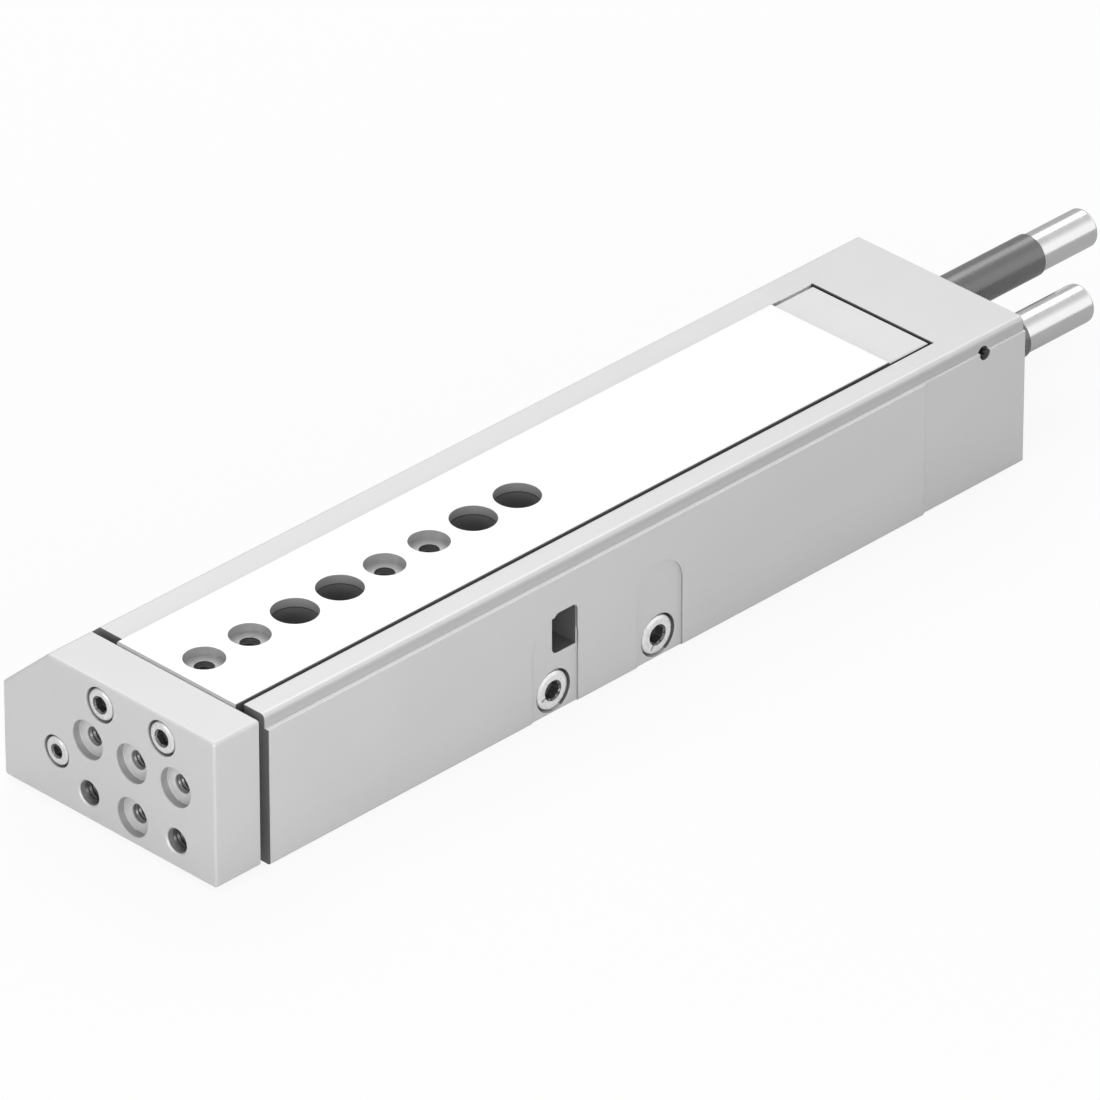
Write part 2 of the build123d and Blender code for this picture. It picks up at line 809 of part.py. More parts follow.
def stop_shaft(x, shaft_front, shoulder, head_length):
    """A shaft inside a sleeve, with a bright head that closes the sleeve's end and a hexagon to turn it."""
    end = shoulder + head_length
    shaft = bar_y(stop_shaft_diameter / 2, shaft_front, shoulder + past, x, stop_height)
    head = bar_y(stop_head_diameter / 2, shoulder, end, x, stop_height)
    head = fillet(head.faces().sort_by(Axis.Y)[-1].edges(), head_edge_round)
    hexagon = extrude(RegularPolygon(stop_hexagon / 2, 6, major_radius=False), amount=-stop_hexagon_depth)
    return shaft + head - facing(x, end, stop_height, (0, 1, 0)) * hexagon


def absorber_body():
    low = pocket_rear + stop_front_room
    body = stop_shaft(retract_x, low, rear + retract_sleeve_reach, retract_head_length)
    hollow = plunger_tip() + plunger_length + plunger_travel + plunger_rear_room
    return body - bar_y(plunger_diameter / 2 + thread_fit, pocket_rear - past, hollow, retract_x, stop_height)


def plunger_tip():
    """The plunger's tip stands just clear of the tail plate's lug."""
    return lug_rear + side_gap


def absorber_plunger():
    plunger = bar_y(plunger_diameter / 2, plunger_tip(), plunger_tip() + plunger_length, retract_x, stop_height)
    return chamfer(plunger.faces().sort_by(Axis.Y)[0].edges(), plunger_chamfer)


def stop_rod():
    return stop_shaft(extend_x, upright_front, rear + extend_sleeve_reach, extend_head_length)


def stop_nut():
    """The collar on the stop rod that the table's lug meets, through the buffer, at full stroke."""
    middle = stop_nut_front + stop_nut_length / 2
    return ring_y(sleeve_diameter / 2, stop_shaft_diameter / 2 + thread_fit, middle, stop_nut_length,
                  extend_x, stop_height)


def stop_buffer():
    middle = stop_nut_front + stop_nut_length + stop_buffer_thickness / 2
    return ring_y(sleeve_diameter / 2 - stop_buffer_inset, stop_shaft_diameter / 2 + thread_fit, middle,
                  stop_buffer_thickness, extend_x, stop_height)


def save(name, solids):
    """Write one sub-part; a list of solids becomes one group."""
    if isinstance(solids, list):
        solids = Compound(children=solids)
    export_step(solids, "parts/" + name + ".step")


def main():
    os.makedirs("parts", exist_ok=True)
    piston, seals, magnet = piston_parts()
    save("housing_block", housing_block())
    save("rear_cap", rear_cap())
    save("cap_screws", cap_screws())
    save("port_plugs", port_plugs())
    save("side_plug", side_plug())
    save("raceway_left", raceway(-1))
    save("raceway_right", raceway(1))
    save("rod_bush", rod_bush())
    save("rod_seal", rod_seal())
    save("end_buffers", end_buffers())
    save("stop_block", stop_block())
    save("block_screws", block_screws())
    save("stop_rod", stop_rod())
    save("stop_nut", stop_nut())
    save("stop_buffer", stop_buffer())
    save("extend_sleeve", stop_sleeve(extend_x, extend_sleeve_reach))
    save("retract_sleeve", stop_sleeve(retract_x, retract_sleeve_reach))
    save("absorber_body", absorber_body())
    save("absorber_plunger", absorber_plunger())
    save("table_plate", table_plate())
    save("tail_plate", tail_plate())
    save("tail_screws", tail_screws())
    save("yoke_plate", yoke_plate())
    save("yoke_screws", yoke_screws())
    save("rod_screw", rod_screw())
    save("piston_rod", piston_rod())
    save("piston", piston)
    save("piston_seals", seals)
    save("piston_magnet", magnet)
    for name, side in (("left", -1), ("right", 1)):
        save("ball_cage_" + name, ball_cage(side))
        save("balls_" + name, ball_row(side))


main()
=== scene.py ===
# %% [markdown]
# # Dressing a pneumatic slide table
# The slide comes in as solids that already have their real size and place. This lesson gives them their
# finishes, models the small parts that the solids leave plain, and lights the whole for one photograph.
# The solids stay where they are, and each new piece takes the place of the plain one that it stands for.

# %% Load the solids
import bmesh
import bpy
from math import cos, pi, radians, sin, tau
from mathutils import Matrix, Vector


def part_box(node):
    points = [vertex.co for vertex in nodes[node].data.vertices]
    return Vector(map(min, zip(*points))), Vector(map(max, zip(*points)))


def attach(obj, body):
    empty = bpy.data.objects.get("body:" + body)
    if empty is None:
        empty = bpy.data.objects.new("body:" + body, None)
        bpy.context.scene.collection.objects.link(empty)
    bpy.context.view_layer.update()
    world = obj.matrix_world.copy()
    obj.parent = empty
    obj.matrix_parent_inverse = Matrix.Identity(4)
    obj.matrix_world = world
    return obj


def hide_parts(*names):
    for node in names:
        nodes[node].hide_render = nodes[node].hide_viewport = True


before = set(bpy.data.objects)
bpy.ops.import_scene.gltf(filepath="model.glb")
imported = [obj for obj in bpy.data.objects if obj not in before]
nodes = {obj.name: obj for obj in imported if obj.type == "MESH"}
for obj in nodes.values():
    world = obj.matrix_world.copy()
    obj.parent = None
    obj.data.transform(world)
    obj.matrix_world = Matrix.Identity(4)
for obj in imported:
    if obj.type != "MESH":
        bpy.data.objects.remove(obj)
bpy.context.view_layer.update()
mm = 0.001

# %% [markdown]
# The product shot looks down on the front right corner through a very long lens, which keeps the slide's
# edges almost parallel. A camera is easiest to repeat from a point that it looks at, two angles and a
# distance. A lens length alone would not do, because the distance sets how fast the edges close in.

# %% Camera
camera_target = Vector((14.639, -14.546, 22.570)) * mm
camera_azimuth = radians(44.76)
camera_elevation = radians(31.33)
camera_distance = 2157.9 * mm
lens_length = 439.65
sensor_width = 36.0

towards_camera = Vector((
    sin(camera_azimuth) * cos(camera_elevation),
    -cos(camera_azimuth) * cos(camera_elevation),
    sin(camera_elevation),
))
camera_data = bpy.data.cameras.new("camera")
camera_data.lens = lens_length
camera_data.sensor_width = sensor_width
camera_data.clip_end = 20.0
camera = bpy.data.objects.new("camera", camera_data)
camera.location = camera_target + towards_camera * camera_distance
camera.rotation_euler = towards_camera.to_track_quat("Z", "Y").to_euler()
bpy.context.scene.collection.objects.link(camera)
bpy.context.scene.camera = camera
print("camera at", [round(v, 3) for v in camera.location])

# %% [markdown]
# Shader maths reads best as sums and products. A Wire holds one socket, and its operators add the Math
# nodes. A Finish holds one node tree, and its node() method adds any other node: first its settings, then
# the values or wires of its sockets.

# %% Wires and finishes
class Wire:
    """One value between two nodes, which can be reckoned with."""

    def __init__(self, finish, socket):
        self.finish = finish
        self.socket = socket

    def maths(self, operation, *values):
        return self.finish.node("ShaderNodeMath", {"operation": operation}, dict(enumerate(values)))

    def __add__(self, other):
        return self.maths("ADD", self, other)

    def __sub__(self, other):
        return self.maths("SUBTRACT", self, other)

    def __mul__(self, other):
        return self.maths("MULTIPLY", self, other)

    def __rsub__(self, other):
        return self.maths("SUBTRACT", other, self)

    def lesser(self, other):
        return self.maths("MINIMUM", self, other)

    __radd__ = __add__
    __rmul__ = __mul__

    def rise(self, start, end):
        """0 below start, 1 above end, and a smooth step between them."""
        settings = {"interpolation_type": "SMOOTHSTEP"}
        return self.finish.node("ShaderNodeMapRange", settings, {0: self, 1: start, 2: end})

    def above(self, limit, blend=0.05 * mm):
        """1 above a limit and 0 below it, with a blend as wide as a hair."""
        return self.rise(limit, limit + blend)

    def below(self, limit, blend=0.05 * mm):
        return 1.0 - self.above(limit, blend)


class Finish:
    """The node tree of one material or of the world."""

    def __init__(self, owner):
        owner.use_nodes = True
        self.owner = owner
        self.tree = owner.node_tree

    def node(self, kind, settings=None, sockets=None, give=0):
        node = self.tree.nodes.new(kind)
        for name, value in (settings or {}).items():
            setattr(node, name, value)
        for name, value in (sockets or {}).items():
            self.feed(node.inputs[name], value)
        return Wire(self, node.outputs[give])

    def feed(self, socket, value):
        if isinstance(value, Wire):
            self.tree.links.new(value.socket, socket)
        elif socket.type == "RGBA":
            socket.default_value = (*value, 1.0)
        else:
            socket.default_value = value

    def shade(self, **values):
        """Set or feed the sockets of the material's own shader, named with _ for a space."""
        shader = self.tree.nodes["Principled BSDF"]
        for name, value in values.items():
            self.feed(shader.inputs[name.replace("_", " ").title()], value)


# %% [markdown]
# The slide stands on a white sweep. A white floor under a soft light would still come out pale grey, so
# camera rays see it as white while the rest of the light bounces off an ordinary pale surface. A part of
# that ordinary surface stays mixed in, and it carries the shadow. Polished metal needs something to mirror,
# or it looks like paint: a grey table below, a bright wall that dims towards the left, and a ceiling
# above that is dimmer than the wall.

# %% Floor and surroundings
floor_half_size = 4.0
floor_paleness = (0.86, 0.86, 0.86)
floor_roughness = 0.9
white = (1.0, 1.0, 1.0)
floor_white_share = 0.88
floor_mirrored_share = 0.60
floor_mirrored_strength = 0.24
sky_strength = 0.54
wall_strength = 1.15
far_wall_strength = 0.50
wall_brightens = (-0.60, 0.20)
ceiling_strength = 0.66
ceiling_begins = (0.50, 0.76)


def seen_directly(finish):
    """Whether a ray comes from the camera, and whether it comes from a mirror or from glass."""
    camera_ray, glossy_ray, glass_ray = [
        finish.node("ShaderNodeLightPath", give=name)
        for name in ("Is Camera Ray", "Is Glossy Ray", "Is Transmission Ray")]
    return camera_ray, glossy_ray + glass_ray


bpy.ops.object.select_all(action="DESELECT")
bpy.ops.mesh.primitive_plane_add(size=2 * floor_half_size)
floor = bpy.context.object
floor.name = "floor"
floor_finish = Finish(bpy.data.materials.new("floor_white"))
floor_finish.shade(base_color=floor_paleness, roughness=floor_roughness)
surface = floor_finish.tree.nodes["Principled BSDF"].outputs[0]
by_camera, by_mirror = seen_directly(floor_finish)
glow_strength = by_camera + by_mirror * floor_mirrored_strength
glow = floor_finish.node("ShaderNodeEmission", {}, {"Color": white, "Strength": glow_strength})
floor_mix = floor_finish.node("ShaderNodeMixShader", {}, {
    0: by_camera * floor_white_share + by_mirror * floor_mirrored_share,
    1: Wire(floor_finish, surface),
    2: glow,
})
floor_finish.feed(floor_finish.tree.nodes["Material Output"].inputs["Surface"], floor_mix)
floor.data.materials.append(floor_finish.owner)

sky = Finish(bpy.data.worlds.new("studio"))
bpy.context.scene.world = sky.owner
by_camera, by_mirror = seen_directly(sky)
direction = sky.node("ShaderNodeTexCoord", give="Generated")
across, height = [sky.node("ShaderNodeSeparateXYZ", {}, {0: direction}, give=axis) for axis in (0, 2)]
wall = far_wall_strength + across.rise(*wall_brightens) * (wall_strength - far_wall_strength)
mirrored = wall - height.rise(*ceiling_begins) * (wall - ceiling_strength)
strength = by_camera + by_mirror * mirrored + (1.0 - by_camera - by_mirror) * sky_strength
sky.feed(sky.tree.nodes["Background"].inputs["Color"], white)
sky.feed(sky.tree.nodes["Background"].inputs["Strength"], strength)
print("floor is", 2 * floor_half_size, "m wide, sky has", len(sky.tree.nodes), "shader nodes")

# %% [markdown]
# Three soft boxes light the metal. A large one stands overhead, to the back left, and makes the top the
# brightest side. A small low one at the right lifts the long side, and one in front evens out the yoke.
# Big, close lamps keep every reflection soft-edged.

# %% Soft boxes
lamp_plan = {
    "overhead_box": {"from": (-0.35, 0.30, 0.80), "size": 0.9, "power": 4.4},
    "side_box": {"from": (0.38, -0.32, 0.10), "size": 0.25, "power": 0.95},
    "front_box": {"from": (-0.15, -0.95, 0.35), "size": 0.5, "power": 1.8},
}
for name, plan in lamp_plan.items():
    lamp_data = bpy.data.lights.new(name, "AREA")
    lamp_data.shape = "SQUARE"
    lamp_data.size = plan["size"]
    lamp_data.energy = plan["power"]
    lamp = bpy.data.objects.new(name, lamp_data)
    lamp.location = plan["from"]
    lamp.rotation_euler = Vector(plan["from"]).to_track_quat("Z", "Y").to_euler()
    bpy.context.scene.collection.objects.link(lamp)

bpy.context.scene.view_settings.view_transform = "Standard"
print("lamps:", sorted(lamp_plan))

# %% [markdown]
# Every surface here is metal that some tool has passed over, so the finishes share three ideas: long
# streaks, which are noise stretched along the tool's path; a fine grain, which is the same noise left
# round; and edges that have lost a little of their finish. The edges are found by comparing the true
# normal with one rounded over a small radius, so no edge has to be painted by hand.

# %% Shared patterns
bevel_samples = 4
fully_worn = 0.12


def object_place(finish, stretch=(1.0, 1.0, 1.0), centre=(0.0, 0.0, 0.0)):
    """The point on the piece, moved to a centre and stretched along the axes."""
    place = finish.node("ShaderNodeTexCoord", give="Object")
    moved = [-c * s for c, s in zip(centre, stretch)]
    return finish.node("ShaderNodeMapping", {}, {"Vector": place, "Location": moved, "Scale": stretch})


def mottle(finish, per_metre, stretch=(1.0, 1.0, 1.0), detail=2.0, roughness=0.5):
    """Noise from -0.5 to 0.5, with so many spots to the metre."""
    place = object_place(finish, stretch)
    noise = finish.node("ShaderNodeTexNoise", {}, {
        "Vector": place, "Scale": per_metre, "Detail": detail, "Roughness": roughness})
    return noise - 0.5


def edge_wear(finish, reach):
    """1 on sharp edges and 0 away from them, over a reach in metres."""
    rounded = finish.node("ShaderNodeBevel", {"samples": bevel_samples}, {"Radius": reach})
    true = finish.node("ShaderNodeNewGeometry", give="Normal")
    settings = {"operation": "DOT_PRODUCT"}
    alike = finish.node("ShaderNodeVectorMath", settings, {0: rounded, 1: true}, give="Value")
    return (1.0 - alike).rise(0.0, fully_worn)


def relief(finish, height, distance, rounding=0.12 * mm):
    """A surface that is broken at its edges and carries a height pattern, distance metres deep."""
    rounded = finish.node("ShaderNodeBevel", {"samples": bevel_samples}, {"Radius": rounding})
    return finish.node("ShaderNodeBump", {}, {
        "Strength": 1.0, "Distance": distance, "Height": height, "Normal": rounded})


def tint(finish, share, low, high):
    """A colour between low and high."""
    settings = {"data_type": "RGBA", "clamp_factor": True}
    return finish.node("ShaderNodeMix", settings, {0: share, 6: low, 7: high}, give=2)


def grey(value):
    return (value, value, value)


def coordinates(finish):
    """Where a point lies across the slide, along it and up, in metres."""
    place = object_place(finish)
    return [finish.node("ShaderNodeSeparateXYZ", {}, {0: place}, give=axis) for axis in range(3)]


def in_zones(finish, colour, zones):
    """A colour that gives way to a grey in each zone, which is a mask and the grey's value."""
    for mask, shade in zones:
        colour = tint(finish, mask, colour, grey(shade))
    return colour


# %% [markdown]
# Bores, slots and pockets are painted darker than the outside, which is painted shade. A point counts as
# inside when it lies well below every outer face of its solid, the sloping shoulder among them, so one
# distance finds all the holes of a piece at once.

# %% Depth below the outside
shoulder_width = 10.5 * mm
shoulder_drop = 9.5 * mm
cap_low, cap_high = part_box("rear_cap")
shoulder_top = Vector((cap_low.x + shoulder_width, 0, cap_high.z))
shoulder_foot = Vector((cap_low.x, 0, cap_high.z - shoulder_drop))
for end in (shoulder_foot, shoulder_top):
    print("shoulder end, in mm:", [round(value / mm, 2) for value in end])


def depth_below(finish, node):
    """How far a point lies below the nearest outer face of a node, in metres."""
    low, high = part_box(node)
    across, along, up = coordinates(finish)
    slope = shoulder_top - shoulder_foot
    slope_out = Vector((-slope.z, 0, slope.x)).normalized()
    from_shoulder = slope_out.dot(shoulder_top) - (across * slope_out.x + up * slope_out.z)
    depth = (across - low.x).lesser(high.x - across)
    depth = depth.lesser((along - low.y).lesser(high.y - along))
    depth = depth.lesser((up - low.z).lesser(high.z - up))
    return depth.lesser(from_shoulder)


# %% [markdown]
# The body, rear cap, yoke and tail plate are aluminium, blasted to a satin grain and clear anodised. The
# oxide layer scatters part of the light, so the finish is only part metal. Faint streaks run along the
# slide, where the bar was drawn, and the handled edges are a shade lighter.

# %% Painted light on the band
recess_top = 18.0 * mm
side_hole_top = 20.5 * mm
band_inset = 0.5 * mm
band_height = 2.4 * mm
band_side = cap_high.x - band_inset
band_foot = cap_high.z - band_height
tail_drop = 0.5 * mm
tail_pocket_room = 0.7 * mm
print("band from", round(band_foot / mm, 2), "mm up, at", round(band_side / mm, 2), "mm across")


def band_painted_light(finish):
    """Painted shade on the band that is set back on the right, and a painted highlight on the narrow ledge
    under it.
    """
    across, _, up = coordinates(finish)
    above_foot = up.above(band_foot - 0.05 * mm, 0.03 * mm)
    band = above_foot * across.above(band_side - 0.30 * mm, 0.25 * mm)
    ledge = above_foot * across.above(band_side + 0.03 * mm, 0.03 * mm)
    # The band's 0.52 is painted shade and the ledge's 0.95 is a painted highlight.
    return [(band, 0.52), (ledge, 0.95)]


# %% [markdown]
# Each anodised piece adds zones of its own, which are masks made from the point's place. On the body,
# painted shade darkens the front end, which faces the yoke across a narrow gap, the walls of the recesses
# and everything inside. On the cap, painted shade darkens the joint behind the tail plate and the hole of
# the small plug, and painted light brightens the joint's left wall. The yoke's counterbore walls and bores
# are painted darker, which is painted shade, while the floors keep the plain colour, and the tail plate's
# side that slides past the cap is painted dark, a painted shade for the gap beside it.

# %% Zones of each piece
def body_painted_light(finish):
    low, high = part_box("housing_block")
    across, along, up = coordinates(finish)
    depth = depth_below(finish, "housing_block")
    # Every grey here is painted shade: the front end, seen across the narrow gap to the yoke, the recess
    # walls, the bores and the side holes.
    front_end = along.below(low.y + 0.03 * mm)
    below_side = across.above(high.x - 0.47 * mm) * across.below(high.x - 0.08 * mm, 0.04 * mm)
    recess_wall = below_side * up.below(recess_top, 0.1 * mm)
    inside = depth.rise(1.1 * mm, 2.0 * mm)
    side_hole = depth.above(0.54 * mm, 0.08 * mm) * up.below(side_hole_top, 0.5 * mm)
    return [(recess_wall, 0.36), (inside, 0.24), (side_hole, 0.18), (front_end, 0.20)] + band_painted_light(finish)


def plug_hole_mask(finish):
    """1 inside the hole that the small plug sits in, where painted shade goes."""
    low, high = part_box("side_plug")
    middle = (low + high) / 2
    across, along, up = coordinates(finish)
    off_axis = finish.node("ShaderNodeCombineXYZ", {}, {1: along - middle.y, 2: up - middle.z})
    radius = finish.node("ShaderNodeVectorMath", {"operation": "LENGTH"}, {0: off_axis}, give="Value")
    hole_radius = (high.z - low.z) / 2
    return radius.below(hole_radius + 0.01 * mm, 0.04 * mm) * across.above(low.x - 0.10 * mm, 0.10 * mm)


def cap_painted_light(finish):
    low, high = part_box("tail_plate")
    across, along, up = coordinates(finish)
    # Painted shade inside, on the joint's rear wall and in the plug's hole, and painted light on the
    # joint's left wall, which the lamps leave in shadow.
    inside = depth_below(finish, "rear_cap").rise(1.2 * mm, 2.2 * mm)
    below_top = up.below(high.z + tail_drop - 0.06 * mm, 0.03 * mm)
    in_pocket = below_top * across.above(low.x - tail_pocket_room) * across.below(high.x + 0.65 * mm)
    rear_wall = in_pocket * along.above(high.y + 0.20 * mm) * along.below(high.y + 0.60 * mm)
    left_wall = in_pocket * across.below(low.x - 0.50 * mm) * along.below(high.y + 0.20 * mm)
    joint = [(plug_hole_mask(finish), 0.16), (rear_wall, 0.05), (left_wall, 0.95)]
    return [(inside, 0.28)] + band_painted_light(finish) + joint


def yoke_painted_shade(finish):
    depth = depth_below(finish, "yoke_plate")
    # Painted shade: the counterbore walls at 0.34 and the bores below them at 0.14.
    counterbore_wall = depth.above(0.20 * mm, 0.10 * mm) * depth.below(1.48 * mm, 0.08 * mm)
    return [(counterbore_wall, 0.34), (depth.rise(1.7 * mm, 2.2 * mm), 0.14)]


def tail_painted_shade(finish):
    _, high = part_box("tail_plate")
    across, _, _ = coordinates(finish)
    # Painted shade: the right side at 0.06 stands for the shade in the gap beside the cap, and the bores at
    # 0.30.
    right_side = across.above(high.x - 0.04 * mm, 0.02 * mm)
    inside = depth_below(finish, "tail_plate").rise(1.2 * mm, 2.2 * mm)
    return [(inside, 0.30), (right_side, 0.06)]


# %% [markdown]
# The finish itself is one function, because the four pieces differ only in shade, in zones and in the way
# their streaks run. The yoke is cut across the bar, so its streaks lie level and its edges are less worn.

# %% Anodised aluminium
along_slide = (1.0, 0.02, 1.0)
across_plate = (1.0, 1.0, 0.04)


def anodised(name, shade, zones_of, streaks=along_slide, worn_share=0.5):
    finish = Finish(bpy.data.materials.new(name))
    streak = mottle(finish, 1400.0, streaks, detail=3.0)
    cloud = mottle(finish, 60.0, detail=1.0)
    grain = mottle(finish, 5200.0, detail=1.0)
    tone = 0.5 + streak * 0.55 + cloud * 0.7
    plain = tint(finish, tone, grey(shade * 0.97), grey(shade * 1.03))
    worn = edge_wear(finish, 0.22 * mm)
    outside = tint(finish, worn * worn_share, plain, grey(min(1.0, shade * 1.12)))
    finish.shade(
        # zones_of gives each piece's painted shade and painted light.
        base_color=in_zones(finish, outside, zones_of(finish)),
        metallic=0.3,
        roughness=0.40 + streak * 0.10 + cloud * 0.08,
        normal=relief(finish, grain * 0.6 + streak * 0.5, 0.006 * mm),
    )
    return finish.owner


finishes = {
    "anodised_body": anodised("anodised_body", 0.67, body_painted_light),
    "anodised_cap": anodised("anodised_cap", 0.66, cap_painted_light),
    "anodised_yoke": anodised("anodised_yoke", 0.66, yoke_painted_shade, across_plate, worn_share=0.2),
    "anodised_tail": anodised("anodised_tail", 0.69, tail_painted_shade),
}
print("anodised finishes:", sorted(finishes))

# %% [markdown]
# The table is hardened steel with a ground top, by far the brightest face. Grinding leaves very fine
# parallel scratches along the travel, which spread the light sideways but hardly darken it. The wheel
# touches only the top, and the front end is milled. The holes and the sides are painted darker, which is
# painted shade: on the sides it stands for the shade in the gaps beside the table.

# %% Ground steel
def table_milling_and_painted_shade(finish):
    low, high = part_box("table_plate")
    _, along, up = coordinates(finish)
    depth = depth_below(finish, "table_plate")
    # The sides at 0.10 and the holes at 0.46 and 0.30 are painted shade; the front end's 0.60 is its milled
    # finish.
    below_top = up.below(high.z - 0.15 * mm, 0.10 * mm)
    counterbore = depth.above(0.10 * mm) * depth.below(1.62 * mm, 0.08 * mm)
    deeper = depth.rise(1.7 * mm, 2.0 * mm)
    front_end = along.below(low.y + 0.03 * mm)
    return [(below_top, 0.10), (counterbore, 0.46), (deeper, 0.30), (front_end, 0.60)]


def ground_steel(name, shade, roughness=0.30, zones_of=lambda finish: []):
    finish = Finish(bpy.data.materials.new(name))
    scratch = mottle(finish, 3800.0, (1.0, 0.004, 1.0), detail=4.0, roughness=0.6)
    cloud = mottle(finish, 45.0, detail=1.0)
    tone = 0.5 + scratch * 0.4 + cloud * 0.5
    plain = tint(finish, tone, grey(shade * 0.98), grey(min(1.0, shade * 1.02)))
    finish.shade(
        # zones_of gives the table's milled front and its painted shade, and nothing for the other pieces.
        base_color=in_zones(finish, plain, zones_of(finish)),
        metallic=0.35,
        roughness=roughness + scratch * 0.10 + cloud * 0.05,
        normal=relief(finish, scratch, 0.0025 * mm),
    )
    return finish.owner


finishes["ground_steel"] = ground_steel("ground_steel", 0.93, zones_of=table_milling_and_painted_shade)
finishes["machined_steel"] = ground_steel("machined_steel", 0.42, 0.36)
finishes["hardened_steel"] = ground_steel("hardened_steel", 0.55, 0.18)

# %% [markdown]
# The stops, the rod and the piston are turned, so their marks are rings about an axis that lies along the
# slide. Rings need a distance from that axis: the point is centred on it, flattened, and its length is
# the radius. Noise read at that radius and at the place along the axis is the same all the way round.

# %% Turned pieces
rings_per_metre = 2600.0


def coloured(hue, value):
    """A colour of one hue, with no part above 1."""
    return tuple(min(1.0, part * value) for part in hue)


def turned(name, shade, centre, metallic=1.0, roughness=0.16, mark=0.003, hue=white):
    finish = Finish(bpy.data.materials.new(name))
    flat = object_place(finish, (1.0, 0.0, 1.0), centre)
    radius = finish.node("ShaderNodeVectorMath", {"operation": "LENGTH"}, {0: flat}, give="Value")
    along = finish.node("ShaderNodeSeparateXYZ", {}, {0: object_place(finish)}, give=1)
    ring_place = finish.node("ShaderNodeCombineXYZ", {}, {0: radius, 1: along})
    ring = finish.node("ShaderNodeTexNoise", {}, {
        "Vector": ring_place, "Scale": rings_per_metre, "Detail": 3.0}) - 0.5
    smudge = mottle(finish, 320.0, detail=2.0)
    tone = 0.5 + ring * 0.8 + smudge * 0.5
    plain = tint(finish, tone, coloured(hue, shade * 0.94), coloured(hue, shade * 1.05))
    worn = edge_wear(finish, 0.18 * mm)
    finish.shade(
        base_color=tint(finish, worn * 0.45, plain, coloured(hue, shade * 1.3 + 0.04)),
        metallic=metallic,
        roughness=roughness + ring * 0.08 + smudge * 0.08,
        normal=relief(finish, ring, mark * mm),
    )
    return finish.owner


def axis_of(node):
    """The middle of a round node that lies along the slide."""
    low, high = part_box(node)
    return ((low.x + high.x) / 2, 0.0, (low.z + high.z) / 2)


cylinder_axis = axis_of("piston_rod")
retract_axis = axis_of("retract_sleeve")
extend_axis = axis_of("extend_sleeve")
print("cylinder axis", [round(v / mm, 2) for v in cylinder_axis])

finishes["stop_retract"] = turned("bright_stop_retract", 0.80, retract_axis, roughness=0.20)
finishes["stop_extend"] = turned("bright_stop_extend", 0.80, extend_axis, roughness=0.20)
finishes["sleeve_retract"] = turned("black_sleeve_retract", 0.20, retract_axis, 0.6, 0.28, mark=0.001)
finishes["sleeve_extend"] = turned("black_sleeve_extend", 0.20, extend_axis, 0.6, 0.28, mark=0.001)
finishes["plunger"] = turned("plunger_steel", 0.62, retract_axis, roughness=0.14)
finishes["nut"] = turned("stop_nut_steel", 0.40, extend_axis, roughness=0.28)
finishes["chromed_rod"] = turned("chromed_rod", 0.82, cylinder_axis, roughness=0.07, mark=0.001)
finishes["piston_alloy"] = turned("piston_alloy", 0.62, cylinder_axis, metallic=0.8, roughness=0.30)
finishes["bronze"] = turned("bronze", 0.62, cylinder_axis, roughness=0.42, hue=(1.0, 0.70, 0.42))

# %% [markdown]
# Seals and buffers are moulded rubber, the ball cages are moulded plastic, and the piston's magnet is
# pressed from powder. No tool leaves a direction on them, so they are matt, a little cloudy and speckled.

# %% Moulded and pressed pieces
def moulded(name, dark, pale, roughness, speckle=0.4):
    finish = Finish(bpy.data.materials.new(name))
    cloud = mottle(finish, 260.0)
    grain = mottle(finish, 6500.0, detail=1.0)
    finish.shade(
        base_color=tint(finish, 0.5 + cloud + grain * speckle, dark, pale),
        roughness=roughness + cloud * 0.12,
        normal=relief(finish, grain + cloud * 0.5, 0.008 * mm),
    )
    return finish.owner


finishes["seal_rubber"] = moulded("seal_rubber", grey(0.020), grey(0.045), 0.62)
finishes["cage_plastic"] = moulded("cage_plastic", (0.56, 0.54, 0.48), (0.68, 0.66, 0.60), 0.42)
finishes["pressed_magnet"] = moulded("pressed_magnet", grey(0.09), grey(0.17), 0.50, speckle=0.9)

# %% [markdown]
# Most of the solids already have their final shape and only need a finish. A table of names is the
# shortest way to say which piece is made of what, and it is easy to check against the object. The screws
# and plugs are missing from it, because new pieces take their places further on.

# %% Finishes of the solids
finish_of = {
    "housing_block": "anodised_body",
    "rear_cap": "anodised_cap",
    "yoke_plate": "anodised_yoke",
    "tail_plate": "anodised_tail",
    "table_plate": "ground_steel",
    "stop_block": "machined_steel",
    "raceway_left": "hardened_steel",
    "raceway_right": "hardened_steel",
    "balls_left": "hardened_steel",
    "balls_right": "hardened_steel",
    "stop_rod": "stop_extend",
    "absorber_body": "stop_retract",
    "retract_sleeve": "sleeve_retract",
    "extend_sleeve": "sleeve_extend",
    "absorber_plunger": "plunger",
    "stop_nut": "nut",
    "piston_rod": "chromed_rod",
    "piston": "piston_alloy",
    "rod_bush": "bronze",
    "rod_seal": "seal_rubber",
    "piston_seals": "seal_rubber",
    "end_buffers": "seal_rubber",
    "stop_buffer": "seal_rubber",
    "piston_magnet": "pressed_magnet",
    "ball_cage_left": "cage_plastic",
    "ball_cage_right": "cage_plastic",
}
for node, finish in finish_of.items():
    nodes[node].data.materials.clear()
    nodes[node].data.materials.append(finishes[finish])
print(len(finish_of), "nodes share", len(set(finish_of.values())), "finishes")

# %% [markdown]
# Small turned parts are easiest to model upright at the origin, as a lathe would hold them, and to turn
# into place afterwards. They start as a loop of edges, and each further ring is one extrusion that is
# scaled about the axis. A list of radii and heights then reads like the part's own drawing.

# %% Ring tools
rim_points = 48


def deselect_all():
    if bpy.context.mode != "OBJECT":
        bpy.ops.object.mode_set(mode="OBJECT")
    bpy.ops.object.select_all(action="DESELECT")


